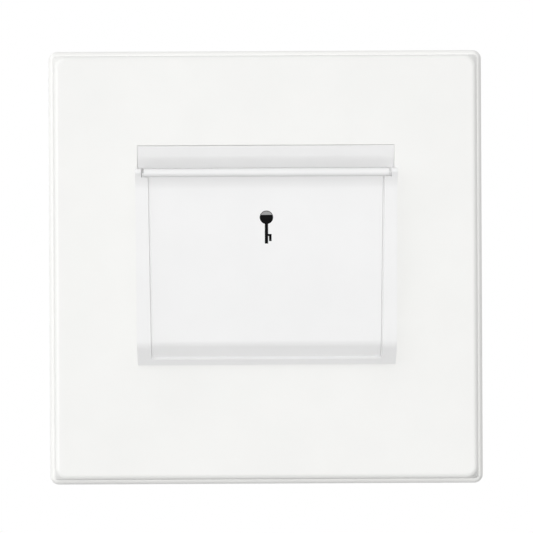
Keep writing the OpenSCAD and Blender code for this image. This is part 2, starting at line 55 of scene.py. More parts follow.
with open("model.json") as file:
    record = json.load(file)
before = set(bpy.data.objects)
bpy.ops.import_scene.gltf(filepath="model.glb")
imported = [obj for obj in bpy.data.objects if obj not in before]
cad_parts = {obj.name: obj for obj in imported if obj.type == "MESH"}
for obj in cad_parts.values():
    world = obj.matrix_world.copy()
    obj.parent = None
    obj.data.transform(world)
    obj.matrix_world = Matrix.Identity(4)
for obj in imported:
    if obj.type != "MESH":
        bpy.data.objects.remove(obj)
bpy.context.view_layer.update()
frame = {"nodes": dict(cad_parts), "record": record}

# Units, how far a cutter reaches beyond what it cuts, and the fineness of meshes
MM = 0.001
BEYOND = 1 * MM
ARC_STEPS = 10
TURN_STEPS = 40
BEVEL_STEPS = 3
WELD = 0.002 * MM
FLAT_ANGLE = math.radians(0.5)
EDGE_ANGLE = math.radians(32)

# A face counts as looking to the room or to the wall when its normal points there by more than this
FACING = 0.3

# Strength of a material's relief, as a share of its full effect
RELIEF_SHARE = 0.5

# Matt paint of the floor: size of its speckles, least and greatest roughness
FLOOR_SPECKLE = 25 * MM
FLOOR_ROUGH = (0.85, 0.95)

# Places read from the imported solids, in metres
PLATE_LOW, PLATE_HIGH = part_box("cover_plate")
HOOD_LOW, HOOD_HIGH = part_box("pocket_hood")
PANEL_LOW, PANEL_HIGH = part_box("front_panel")
PIN_LOW, PIN_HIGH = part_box("lever_pin")
PIN_MIDDLE = (PIN_LOW + PIN_HIGH) / 2
PIN_RADIUS = (PIN_HIGH.z - PIN_LOW.z) / 2
FACE = -PLATE_LOW.y
BODY_OF = {node: body for body, nodes in frame["record"]["behaviour"]["bodies"].items() for node in nodes}
SLOT_OF = {part["node"]: part["material_slot"] for part in frame["record"]["subparts"]}

# Turns a shape drawn with its axis along z so that the axis points out of the wall
OUTWARDS = Matrix.Rotation(math.radians(90), 4, "X")

# Directions from which light comes: the brightest part of the surroundings, and the two lamps
WORLD_FROM = Vector((-0.56, -0.44, 0.7)).normalized()
FRONT_FROM = Vector((0, -1, 0))
SIDE_FROM = Vector((-0.75, -0.66, 0)).normalized()


def linear(code):
    """Linear colour of an sRGB hex code."""
    parts = [int(code[k:k + 2], 16) / 255 for k in (0, 2, 4)]
    return [c / 12.92 if c <= 0.04045 else ((c + 0.055) / 1.055) ** 2.4 for c in parts]


def length(name, description, mm):
    """Property for a length, with its default in millimetres."""
    return FloatProperty(name=name, description=description, default=mm * MM, unit="LENGTH", precision=5)


def number(name, description, value, subtype="NONE"):
    """Property for a number that isn't a length."""
    return FloatProperty(name=name, description=description, default=value, subtype=subtype)


def colour(name, description, code):
    """Property for a colour, with its default as an sRGB hex code."""
    return FloatVectorProperty(
        name=name, description=description, default=linear(code), subtype="COLOR", min=0, max=1)


class PlateSizes(bpy.types.PropertyGroup):
    skin: length("Skin", "Thickness of the plate's face and sides", 2.2)
    ledge_w: length("Ledge width", "Width of the ledge around the foot of the plate", 1.2)
    ledge_h: length("Ledge height", "Height of the ledge above the wall", 2.5)
    ledge_edge: length("Ledge edge", "Width of the ledge's rounded outer edge", 1.2)
    ledge_fall: length("Ledge fall", "Height of that rounded edge", 1.8)
    ledge_corner: length("Ledge corner", "Corner radius of the ledge", 2.0)
    draft: length("Draft", "How far each side leans in from the ledge to the face", 0.9)
    edge: length("Front edge", "Radius of the plate's rounded front edge", 1.2)
    corner: length("Corner", "Corner radius of the plate's face", 2.6)
    seam: length("Seam", "Gap around the pocket in the plate's cut-out", 0.03)
    lip: length("Lip", "Radius of the cut-out's upper edge", 0.15)
    leg_in: length("Snap leg", "Distance of a snap leg's inner face from the middle", 35.8)
    leg_t: length("Leg thickness", "Thickness of a snap leg", 1.5)
    leg_w: length("Leg width", "Width of a snap leg", 8)
    nib: length("Nib", "Reach of the hook on a snap leg", 0.9)
    nib_low: length("Nib height", "Height of that hook's end above the wall", 2.2)
    nib_t: length("Nib thickness", "Thickness of that hook", 1.5)


class PocketSizes(bpy.types.PropertyGroup):
    cheek: length("Cheek", "Thickness of the hood's cheeks and foot", 1.3)
    play: length("Play", "Gap between the panel and a cheek", 0.15)
    flare: length("Flare", "How far the hood's lip curls forward below the bead", 1.0)
    flare_h: length("Flare height", "Height of the curled lip below the bead's middle", 3.4)
    lean_drop: length("Lean", "How much less the hood stands out at its bend than below the lip", 3.0)
    foot_trim: length("Foot trim", "How far the foot ends above that of the packed solid", 0.22)
    foot_run: length("Foot", "Height of the hood's sloping foot", 4.4)
    foot_step: length("Foot step", "How far the hood's foot stands in front of the plate", 0.7)
    bend: length("Bend", "Radius of the bend above the foot", 3.5)
    shoulder: length("Shoulder", "Radius of a cheek's upper front corner", 0.7)
    shoulder_up: length("Shoulder height", "Height of that corner above the bead's middle", 0.9)
    rim_w: length("Rim", "Width of the raised rim beside the panel at its top", 2.7)
    rim_taper: length("Rim taper", "How much wider that rim is at its foot", 0.4)
    rim_edge: length("Rim edge", "Rounding of the rim's edge beside the panel", 0.45)
    sill: length("Sill", "Width of the raised rim below the panel", 1.83)
    sill_edge: length("Sill edge", "Height of the slope along the rim's edge below the panel", 0.55)
    rim_t: length("Rim step", "Depth of the panel behind the rim", 0.7)
    panel_t: length("Panel", "Thickness of the front panel", 1.0)
    line_w: length("Shadow line", "Width of the fine groove in the panel beside each rim", 0.3)
    line_deep: length("Shadow line depth", "Depth of that groove", 0.25)
    bead: length("Bead", "Radius of the bead along the panel's top edge", 0.85)
    bead_proud: length("Bead proud", "How far the bead stands in front of the rim", 0.15)
    bead_gap: length("Bead gap", "Gap between an end of the bead and the cheek", 0.55)
    scoop: length("Scoop", "Height of the scooped lead-in's upper edge above the bead", 5.6)
    crest: length("Crest", "Depth of that edge behind the plate's face", 0.18)
    roll_up: length("Roll height", "Height above the bead at which the scoop rolls over", 2.85)
    roll_fall: length("Roll fall", "How much deeper than its upper edge the scoop lies there", 0.55)
    roll: length("Roll", "Radius of that roll", 5)
    mouth: length("Mouth", "Opening between the bead and the scoop's lower edge", 0.75)
    brink: length("Brink", "How far that edge stands in front of the pocket's back wall", 0.6)
    brink_edge: length("Brink edge", "Rounding of that edge", 0.15)
    edge: length("Edge", "Rounding of the hood's moulded edges", 0.5)
    fine_edge: length("Fine edge", "Radius of the edges of the panel and the pocket's back", 0.1)
    guide: length("Guide", "Height of the pocket's back wall above the wall", 7.2)
    back: length("Back", "Thickness of the pocket's back wall", 1.4)
    fit: length("Fit", "Gap between pieces that touch", 0.1)
    tab: length("Tab", "Length of a snap tab under a cheek", 6)
    tab_inset: length("Tab inset", "Distance of a tab's middle from the hood's foot or the bead's top", 9)
    rib_x: length("Rib place", "Distance of a card rib from the middle", 9)
    rib_t: length("Rib", "Thickness of a card rib", 1.2)
    rib_low: length("Rib foot", "Height of a rib's lower end", -13.6)
    rib_high: length("Rib top", "Height of a rib's upper end", 1.4)
    rib_lead: length("Rib lead", "Height of the slope at a rib's upper end", 3)
    card_room: length("Card room", "Space between a rib and the pocket's back wall", 2.8)


class SignSizes(bpy.types.PropertyGroup):
    top: length("Top", "Height of the key sign's upper end above the middle of the plate", 12.36)
    head: length("Head", "Radius of the key's round head", 1.47)
    # The grey cap is a painted highlight on the upper part of the key's head
    cap: length("Cap", "Height of the grey cap at the top of the key's head", 0.93)
    rim: length("Cap rim", "Width of the black line round that cap", 0.12)
    shaft: length("Shaft", "Width of the key's shaft", 0.72)
    tall: length("Height", "Height of the whole key", 7.2)
    bit: length("Bit", "Reach of the key's bit beside its shaft", 0.75)
    bit_tall: length("Bit height", "Height of the key's bit", 1.55)
    bit_bar: length("Bit bar", "Height of the bar from which the bit hangs", 0.45)
    bit_gap: length("Bit gap", "Gap between the bit and the shaft", 0.2)
    bit_foot: length("Bit foot", "Length of the shaft below the bit", 0.55)
    ink: length("Ink", "Thickness of the printed ink", 0.02)


class SwitchSizes(bpy.types.PropertyGroup):
    edge: length("Edge", "Radius of a moulded piece's edges", 0.2)
    sheared: length("Sheared edge", "Radius of a pressed metal piece's edges", 0.12)
    screw_head: length("Screw head", "Radius of a screw's head", 2.7)
    screw_thick: length("Head height", "Height of a screw's head", 2.0)
    slot: length("Slot", "Width of the slot in a screw's head", 0.8)
    head_edge: length("Head edge", "Rounding of the rim of a screw's head", 2 / 3)
    pitch: length("Thread", "Pitch of a screw's thread", 0.5)
    thread: length("Thread depth", "Depth of a screw's thread", 0.25)
    rivet_head: length("Rivet head", "Radius of a rivet's head", 2.4)
    rivet_thick: length("Rivet head height", "Height of a rivet's head", 0.9)
    rivet_edge: length("Rivet edge", "Rounding of the rim of a rivet's head", 0.72)
    shank: length("Shank", "Radius of a screw's or rivet's shank", 1.5)
    tip: length("Contact tip", "Radius of a contact tip", 1.6)


class SpringSizes(bpy.types.PropertyGroup):
    return_wire: length("Return spring wire", "Diameter of the return spring's wire", 0.6)
    lever_wire: length("Lever spring wire", "Diameter of the lever spring's wire", 0.5)
    lever_gap: length("Lever spring gap", "Gap between the pin and the middle of the wire", 0.55)
    lever_pitch: length("Lever spring pitch", "Distance between the lever spring's turns", 1.15)
    lid_leg: length("Lid leg", "Length of the spring's leg on the lid", 9)
    arm_leg: length("Arm leg", "Length of the spring's leg behind the lever's arm", 8)
    arm_back: length("Arm leg depth", "How far behind the pin that leg ends", 1.2)
    lid_gap: length("Lid gap", "Gap between the lid and the spring's leg", 0.1)


class Finishes(bpy.types.PropertyGroup):
    plate: colour("Plate", "Warm white of the cover plate", "F2F2F0")
    pocket: colour("Pocket", "Cooler white of the card pocket", "F1F1F1")
    lever: colour("Lever", "Grey of the card lever", "6E7073")
    plunger: colour("Plunger", "Cream of the plunger", "E4DCC6")
    housing: colour("Housing", "Black of the switch housing", "26272A")
    steel: colour("Steel", "Zinc-plated steel", "C2C5C8")
    wire: colour("Wire", "Spring wire", "A9ABAF")
    brass: colour("Brass", "Brass of the contacts and terminals", "D5B467")
    silver: colour("Silver", "Silver of the contact tips", "DDDDD9")
    ink: colour("Ink", "Printed key sign", "060607")
    # Grey of the painted highlight on the top of the key's head
    highlight_grey: colour("Painted highlight grey", "Grey painted highlight on the key's head", "A0A0A0")
    floor: colour("Floor", "Pale grey of the floor", "CFCFCF")


class StageSizes(bpy.types.PropertyGroup):
    distance: length("Distance", "Distance of the camera from the wall", 370)
    plate_px: number("Plate pixels", "Width of the plate in the picture", 431.5, "PIXEL")
    frame_px: number("Picture pixels", "Width of the square picture", 533, "PIXEL")
    roll: number("Roll", "Turn of the camera about its line of sight", math.radians(0.27), "ANGLE")
    stand_x: length("Stand", "Place of the camera, to the left of the plate's middle when negative", -6.3)
    aim_x: length("Aim across", "How far right of the plate's middle the picture's middle lies", 0.23)
    aim_z: length("Aim up", "How far above the plate's middle the picture's middle lies", 0.22)
    floor_drop: length("Floor", "Gap between the plate's lower edge and the floor", 60)
    floor_reach: length("Floor reach", "Distance of the floor's edges from its middle", 2000)
    ambient: number("Ambient", "Mean strength of the light from all round", 0.595)
    slant: number("Slant", "How much more of that light comes from its brightest side", 0.23)
    front_power: number("Front lamp", "Strength of the lamp in front of the plate", 0.52)
    side_power: number("Side lamp", "Strength of the lamp at the left in front of the plate", 1.03)
    glow: FloatProperty(
        name="Floor glow", description="Share of white that no shadow darkens, close to the object",
        default=0.7, subtype="FACTOR", min=0, max=1)
    fade: length("Floor fade", "Distance at which the floor is plain white", 300)


class SwitchSettings(bpy.types.PropertyGroup):
    plate: PointerProperty(type=PlateSizes)
    pocket: PointerProperty(type=PocketSizes)
    sign: PointerProperty(type=SignSizes)
    switch: PointerProperty(type=SwitchSizes)
    spring: PointerProperty(type=SpringSizes)
    finish: PointerProperty(type=Finishes)
    stage: PointerProperty(type=StageSizes)


def settings():
    """The sizes and colours that the scene holds and the sidebar lists."""
    return bpy.context.scene.card_switch


# Outlines and meshes

def arc(radius, first, sweep, steps, centre=(0, 0)):
    """Points on an arc about a centre, from the angle first on, with both ends."""
    turns = [first + sweep * step / steps for step in range(steps + 1)]
    return [(centre[0] + radius * math.cos(a), centre[1] + radius * math.sin(a)) for a in turns]


def circle(radius, centre=(0, 0)):
    """Points of a whole circle about a centre."""
    return arc(radius, 0, math.tau, TURN_STEPS, centre)[:-1]


def rounded(corners):
    """Closed outline through (a, b, radius) corners, with an arc at each corner that has a radius."""
    points = []
    for k, (a, b, radius) in enumerate(corners):
        here = Vector((a, b))
        if radius == 0:
            points.append(here)
            continue
        before = (Vector(corners[k - 1][:2]) - here).normalized()
        after = (Vector(corners[(k + 1) % len(corners)][:2]) - here).normalized()
        half = before.angle(after) / 2
        centre = here + (before + after).normalized() * radius / math.sin(half)
        start = here + before * radius / math.tan(half) - centre
        end = here + after * radius / math.tan(half) - centre
        first = math.atan2(start.y, start.x)
        sweep = (math.atan2(end.y, end.x) - first + math.pi) % math.tau - math.pi
        points += arc(radius, first, sweep, ARC_STEPS, centre)
    return points


def sideways(along, up, out):
    """Place of an outline's point when the outline is drawn out along x."""
    return Vector((along, -out, up))


def upwards(along, side, out):
    """Place of an outline's point when the outline is drawn out along z."""
    return Vector((side, -out, along))


def forwards(along, side, up):
    """Place of an outline's point when the outline is drawn out of the wall."""
    return Vector((side, -along, up))


def prism(bm, outline, start, end, way=sideways, turn=0.0):
    """Adds a closed solid to bm: an outline drawn out from start to end in one of the three ways, then
    turned about the plate's middle."""
    quarter = Matrix.Rotation(turn, 3, "Y")
    ends = []
    for along in (start, end):
        ends.append([bm.verts.new(quarter @ way(along, a, b)) for a, b in outline])
    faces = [bm.faces.new(ends[0]), bm.faces.new(ends[1])]
    count = len(outline)
    for k in range(count):
        after = (k + 1) % count
        faces.append(bm.faces.new((ends[0][k], ends[0][after], ends[1][after], ends[1][k])))
    bmesh.ops.recalc_face_normals(bm, faces=faces)


def turned(corners, place=Matrix()):
    """Mesh of (radius, along, rounding) corners turned about an axis, which place then sets."""
    bm = bmesh.new()
    rings = []
    for radius, along in rounded(corners):
        spots = circle(radius) if radius > WELD else [(0, 0)]
        rings.append([bm.verts.new((x, y, along)) for x, y in spots])
    for low, high in zip(rings, rings[1:]):
        for k in range(TURN_STEPS):
            after = (k + 1) % TURN_STEPS
            around = (low[k % len(low)], low[after % len(low)], high[after % len(high)], high[k % len(high)])
            bm.faces.new(list(dict.fromkeys(around)))
    bmesh.ops.recalc_face_normals(bm, faces=bm.faces[:])
    bm.transform(place)
    return mesh_of(bm, "turned")


def mesh_of(bm, name):
    """Plain mesh of bm, which is freed."""
    mesh = bpy.data.meshes.new(name)
    bm.to_mesh(mesh)
    bm.free()
    return mesh


def joined_flats(node):
    """Copy of a CAD node's mesh with its loose triangles joined into flat faces."""
    bm = bmesh.new()
    bm.from_mesh(frame["nodes"][node].data)
    bmesh.ops.remove_doubles(bm, verts=bm.verts[:], dist=WELD)
    bmesh.ops.dissolve_limit(bm, angle_limit=FLAT_ANGLE, verts=bm.verts[:], edges=bm.edges[:])
    bm.verts.index_update()
    mesh = bpy.data.meshes.new(node)
    mesh.from_pydata(
        [v.co for v in bm.verts], [], [[v.index for v in face.verts] for face in bm.faces])
    bm.free()
    return mesh


def placed(data, name=None):
    """Object in the scene that holds a mesh, a curve, a lamp or a camera."""
    holder = bpy.data.objects.new(name or data.name, data)
    bpy.context.scene.collection.objects.link(holder)
    return holder


def settled(host):
    """Plain mesh of an object with its modifiers carried out. The object is removed."""
    evaluated = host.evaluated_get(bpy.context.evaluated_depsgraph_get())
    mesh = bpy.data.meshes.new_from_object(evaluated)
    bpy.data.objects.remove(host)
    return mesh


def carved(mesh, *cutters):
    """Mesh with the cutters' meshes taken out of it."""
    host = placed(mesh)
    tools = [placed(cutter) for cutter in cutters]
    for tool in tools:
        cut = host.modifiers.new("Cut", "BOOLEAN")
        cut.object = tool
        cut.operation = "DIFFERENCE"
        cut.solver = "EXACT"
    result = settled(host)
    for tool in tools:
        bpy.data.objects.remove(tool)
    return result


def add_piece(node, mesh, material, edge=0.0):
    """Adds a mesh, with the given material, as the piece that stands for a CAD node.
    With an edge, its sharp or weighted edges are rounded to that radius."""
    mesh.materials.clear()
    mesh.materials.append(material)
    mesh.shade_smooth()
    piece = placed(mesh, node + ".finished")
    if edge:
        bevel = piece.modifiers.new("Rounded edges", "BEVEL")
        bevel.width = edge
        bevel.segments = BEVEL_STEPS
        bevel.limit_method = "WEIGHT" if "bevel_weight_edge" in mesh.attributes else "ANGLE"
        bevel.angle_limit = EDGE_ANGLE
    else:
        mesh.set_sharp_from_angle(angle=EDGE_ANGLE)
    piece.modifiers.new("Flat faces stay flat", "WEIGHTED_NORMAL").keep_sharp = True
    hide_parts(node)
    return piece


def add_rider(node, mesh, material, edge=0.0):
    """Adds a piece that stands for a CAD node and rides on its body."""
    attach(add_piece(node, mesh, material, edge), BODY_OF[node])


# Node trees

def add(tree, kind, settings=None, inputs=None):
    """Adds a node, applies its settings, and sets or links its inputs."""
    node = tree.nodes.new(kind)
    for key, value in (settings or {}).items():
        setattr(node, key, value)
    for key, value in (inputs or {}).items():
        if isinstance(value, bpy.types.NodeSocket):
            tree.links.new(value, node.inputs[key])
        else:
            node.inputs[key].default_value = value
    return node


def new_tree(name, sockets):
    """Geometry Nodes tree with the named inputs and one geometry output, and its input node."""
    tree = bpy.data.node_groups.new(name, "GeometryNodeTree")
    for socket, kind in sockets.items():
        tree.interface.new_socket(socket, in_out="INPUT", socket_type=kind)
    tree.interface.new_socket("Geometry", in_out="OUTPUT", socket_type="NodeSocketGeometry")
    return tree, add(tree, "NodeGroupInput").outputs


def coated(tree, shape, material):
    """Ends a tree: instances become plain geometry, which takes the material."""
    real = add(tree, "GeometryNodeRealizeInstances", inputs={"Geometry": shape})
    skin = add(tree, "GeometryNodeSetMaterial", inputs={
        "Geometry": real.outputs["Geometry"], "Material": material})
    add(tree, "NodeGroupOutput", inputs={"Geometry": skin.outputs["Geometry"]})
    return tree


def fastener_tree():
    """Tree that sets one turned part at each corner of an upright rectangle."""
    tree, given = new_tree("Fastener pattern", {
        "Part": "NodeSocketObject",
        "Middle": "NodeSocketVector",
        "Spacing across": "NodeSocketFloat",
        "Spacing up": "NodeSocketFloat",
        "Rows": "NodeSocketInt",
        "Material": "NodeSocketMaterial",
    })
    grid = add(tree, "GeometryNodeMeshGrid", inputs={
        "Size X": given["Spacing across"], "Size Y": given["Spacing up"],
        "Vertices X": 2, "Vertices Y": given["Rows"]})
    stood = add(tree, "GeometryNodeTransform", inputs={
        "Geometry": grid.outputs["Mesh"], "Translation": given["Middle"], "Rotation": (math.pi / 2, 0, 0)})
    part = add(tree, "GeometryNodeObjectInfo", inputs={"Object": given["Part"]})
    copies = add(tree, "GeometryNodeInstanceOnPoints", inputs={
        "Points": stood.outputs["Geometry"], "Instance": part.outputs["Geometry"]})
    return coated(tree, copies.outputs["Instances"], given["Material"])


def wire_tree():
    """Tree that draws round wire along a path of edges."""
    tree, given = new_tree("Wire along a path", {
        "Path": "NodeSocketGeometry",
        "Wire diameter": "NodeSocketFloat",
        "Sides": "NodeSocketInt",
        "Material": "NodeSocketMaterial",
    })
    half = add(tree, "ShaderNodeMath", {"operation": "MULTIPLY"}, {0: given["Wire diameter"], 1: 0.5})
    section = add(tree, "GeometryNodeCurvePrimitiveCircle", inputs={
        "Resolution": given["Sides"], "Radius": half.outputs["Value"]})
    path = add(tree, "GeometryNodeMeshToCurve", inputs={"Mesh": given["Path"]})
    swept = add(tree, "GeometryNodeCurveToMesh", inputs={
        "Curve": path.outputs["Curve"], "Profile Curve": section.outputs["Curve"], "Fill Caps": True})
    return coated(tree, swept.outputs["Mesh"], given["Material"])


def grown(mesh, tree, values):
    """Plain mesh that a tree makes from a mesh, with its inputs set by name."""
    host = placed(mesh)
    modifier = host.modifiers.new("Tree", "NODES")
    modifier.node_group = tree
    sockets = {item.name: item.identifier for item in tree.interface.items_tree if item.in_out == "INPUT"}
    for name, value in values.items():
        modifier[sockets[name]] = value
    return settled(host)


# Materials

def new_material(name):
    """Material with an empty tree, and its object coordinates."""
    material = bpy.data.materials.new(name)
    material.use_nodes = True
    material.node_tree.nodes.clear()
    place = add(material.node_tree, "ShaderNodeTexCoord").outputs["Object"]
    return material, material.node_tree, place


def surface(name, shades, patch, grain, detail, roughness, vary, relief, stretch=(1, 1, 1), **shader):
    """Material with patches of two shades, and with a grain that varies its gloss and lifts its surface.
    Patch, grain and relief are in millimetres. A small number in stretch draws the grain out that way."""
    material, tree, place = new_material(name)
    patches = add(tree, "ShaderNodeTexNoise", inputs={
        "Vector": place, "Scale": 1 / (patch * MM), "Detail": detail + 1})
    tint = add(tree, "ShaderNodeMix", {"data_type": "RGBA"}, {
        0: patches.outputs["Fac"], 6: (*shades[0], 1), 7: (*shades[1], 1)})
    drawn = add(tree, "ShaderNodeMapping", inputs={"Vector": place, "Scale": stretch})
    grains = add(tree, "ShaderNodeTexNoise", inputs={
        "Vector": drawn.outputs["Vector"], "Scale": 1 / (grain * MM), "Detail": detail})
    gloss = add(tree, "ShaderNodeMapRange", inputs={
        "Value": grains.outputs["Fac"], "To Min": roughness - vary, "To Max": roughness + vary})
    bump = add(tree, "ShaderNodeBump", inputs={
        "Height": grains.outputs["Fac"], "Strength": RELIEF_SHARE, "Distance": relief * MM})
    finish = add(tree, "ShaderNodeBsdfPrincipled", inputs={
        "Base Color": tint.outputs[2], "Roughness": gloss.outputs["Result"],
        "Normal": bump.outputs["Normal"], **shader})
    add(tree, "ShaderNodeOutputMaterial", inputs={"Surface": finish.outputs["BSDF"]})
    return material


def moulded(name, shade, roughness, relief=0.003, drift=0.03, ior=1.5, specular=0.5):
    """Plastic shaped in a steel mould: an even colour that drifts a little where the melt met, and the
    fine grain of the eroded mould. The real grain is about a tenth of a millimetre, too fine for the
    picture, so it is drawn a few times coarser."""
    shades = [[min(1, c * share) for c in shade] for share in (1 - drift, 1 + drift)]
    return surface(
        name, shades, patch=14, grain=0.5, detail=2, roughness=roughness, vary=0.05, relief=relief,
        **{"IOR": ior, "Specular IOR Level": specular})


def metal(name, shade, tarnish, roughness, line, stretch=(1, 1, 1), patch=6):
    """Metal with drawn or rolled lines some tenths of a millimetre apart and faint patches of tarnish."""
    return surface(
        name, (shade, tarnish), patch=patch, grain=line, detail=3, roughness=roughness, vary=0.08,
        relief=0.002, stretch=stretch, Metallic=1.0)


# Side view of the hood

class Hood:
    """The hood from the side: its sloping front with the curled lip, and its sloping foot, at a depth
    behind the outer skin. All lengths are in metres."""

    def __init__(self, sizes):
        self.foot_up = HOOD_LOW.z + sizes.foot_trim
        self.panel_low = PANEL_LOW.z + sizes.foot_trim
        self.cheek_top = PANEL_HIGH.z + sizes.mouth - sizes.fit
        self.bead_up = PANEL_HIGH.z - sizes.bead
        self.top_out = -PANEL_LOW.y - sizes.bead_proud
        self.lip_out = self.top_out - sizes.flare
        self.lip_up = self.bead_up - sizes.flare_h
        self.flare = sizes.flare
        self.flare_h = sizes.flare_h
        self.foot_out = FACE + sizes.foot_step
        bend_up = self.foot_up + sizes.foot_run
        bend_out = self.lip_out - sizes.lean_drop
        self.lean = math.atan2(sizes.lean_drop, self.bead_up - bend_up)
        self.ramp = math.atan2(bend_out - self.foot_out, sizes.foot_run)
        self.bend_r = sizes.bend
        self.inner = PANEL_HIGH.x + sizes.play
        self.half = self.inner + sizes.cheek

    def front(self, up, depth=0.0):
        """How far out the front stands at a height."""
        curl = self.flare * min(max((up - self.lip_up) / self.flare_h, 0), 1) ** 2
        straight = self.lip_out - math.tan(self.lean) * (self.bead_up - up)
        return straight - depth / math.cos(self.lean) + curl

    def foot(self, up, depth=0.0):
        """How far out the sloping foot stands at a height."""
        return self.foot_out + math.tan(self.ramp) * (up - self.foot_up) - depth / math.cos(self.ramp)

    def bend(self, depth=0.0):
        """Rounded corner where front and foot meet, as (up, out, radius)."""
        rise = self.front(0, depth) - self.foot(0, depth)
        up = rise / (math.tan(self.ramp) - math.tan(self.lean))
        return up, self.front(up, depth), self.bend_r - depth

    def skin(self, depth, low, high):
        """Corners of the skin at a depth, from low to high."""
        corners = [(low, self.foot(low, depth), 0), self.bend(depth)]
        for k in range(ARC_STEPS + 1):
            up = self.lip_up + (high - self.lip_up) * k / ARC_STEPS
            corners.append((up, self.front(up, depth), 0))
        return corners


# Operators

class CARDSWITCH_OT_cover_plate(bpy.types.Operator):
    """Square cover plate with a ledge at the wall, a rounded front edge and a cut-out for the pocket"""
    bl_idname = "card_switch.cover_plate"
    bl_label = "Cover plate"

    def ring(self, bm, half, radius, out, low=None, high=None):
        """Ring of vertices round a rectangle with round corners, at a height out of the wall."""
        right = half - radius
        top = (half if high is None else high) - radius
        foot = (-half if low is None else low) + radius
        verts = []
        for quarter, centre in enumerate(((right, top), (-right, top), (-right, foot), (right, foot))):
            for x, z in arc(radius, quarter * math.pi / 2, math.pi / 2, ARC_STEPS, centre):
                verts.append(bm.verts.new((x, -out, z)))
        return verts

    def rings(self, bm, sizes):
        """Rings from the foot of the ledge over the face, through the cut-out and back to the foot."""
        half = PLATE_HIGH.x
        pocket = settings().pocket
        hood = Hood(pocket)
        side = half - sizes.ledge_w
        centre = side - sizes.draft - sizes.edge
        centre_out = FACE - sizes.edge
        apart = math.hypot(side - centre, centre_out - sizes.ledge_h)
        lean = math.atan2(side - centre, centre_out - sizes.ledge_h) - math.asin(sizes.edge / apart)
        quarter = [math.pi / 2 * k / ARC_STEPS for k in range(ARC_STEPS + 1)]
        rings = [self.ring(bm, half, sizes.ledge_corner, 0)]
        for a in quarter:
            inset = sizes.ledge_edge * (1 - math.cos(a))
            out = sizes.ledge_h - sizes.ledge_fall * (1 - math.sin(a))
            rings.append(self.ring(bm, half - inset, sizes.ledge_corner - inset, out))
        rings.append(self.ring(bm, side, sizes.ledge_corner - sizes.ledge_w, sizes.ledge_h))
        for reach, out in arc(sizes.edge, lean, math.pi / 2 - lean, ARC_STEPS, (centre, centre_out)):
            inset = centre + sizes.edge - reach
            rings.append(self.ring(bm, reach, sizes.corner - inset, out))
        hole = hood.half + sizes.seam
        low = hood.foot_up - sizes.seam
        high = PANEL_HIGH.z + pocket.scoop + sizes.seam
        for a in quarter:
            gap = sizes.lip * (1 - math.sin(a))
            out = FACE - sizes.lip * (1 - math.cos(a))
            rings.append(self.ring(bm, hole, sizes.lip, out, low, high + gap))
        rings.append(self.ring(bm, hole, sizes.lip, FACE - sizes.skin, low, high))
        inside = side - sizes.skin
        rings.append(self.ring(bm, inside - sizes.draft, sizes.edge, FACE - sizes.skin))
        rings.append(self.ring(bm, inside, sizes.edge, 0))
        return rings

    def execute(self, context):
        sizes = settings().plate
        bm = bmesh.new()
        rings = self.rings(bm, sizes)
        for k, ring in enumerate(rings):
            after = rings[(k + 1) % len(rings)]
            for i in range(len(ring)):
                j = (i + 1) % len(ring)
                bm.faces.new((ring[i], ring[j], after[j], after[i]))
        bmesh.ops.recalc_face_normals(bm, faces=bm.faces[:])
        back = FACE - sizes.skin
        near = sizes.leg_in
        far = near + sizes.leg_t
        tip = near - sizes.nib
        low = sizes.nib_low
        leg = [
            (near, back), (near, low + sizes.nib_t), (tip, low + sizes.nib_t / 2),
            (tip, low), (far, low), (far, back)]
        for quarter in range(4):
            prism(bm, leg, -sizes.leg_w / 2, sizes.leg_w / 2, upwards, quarter * math.pi / 2)
        # Polycarbonate from a polished mould, a warm satin white
        white = moulded("Warm white polycarbonate", settings().finish.plate, roughness=0.45)
        add_rider("cover_plate", mesh_of(bm, "cover_plate"), white)
        return {"FINISHED"}


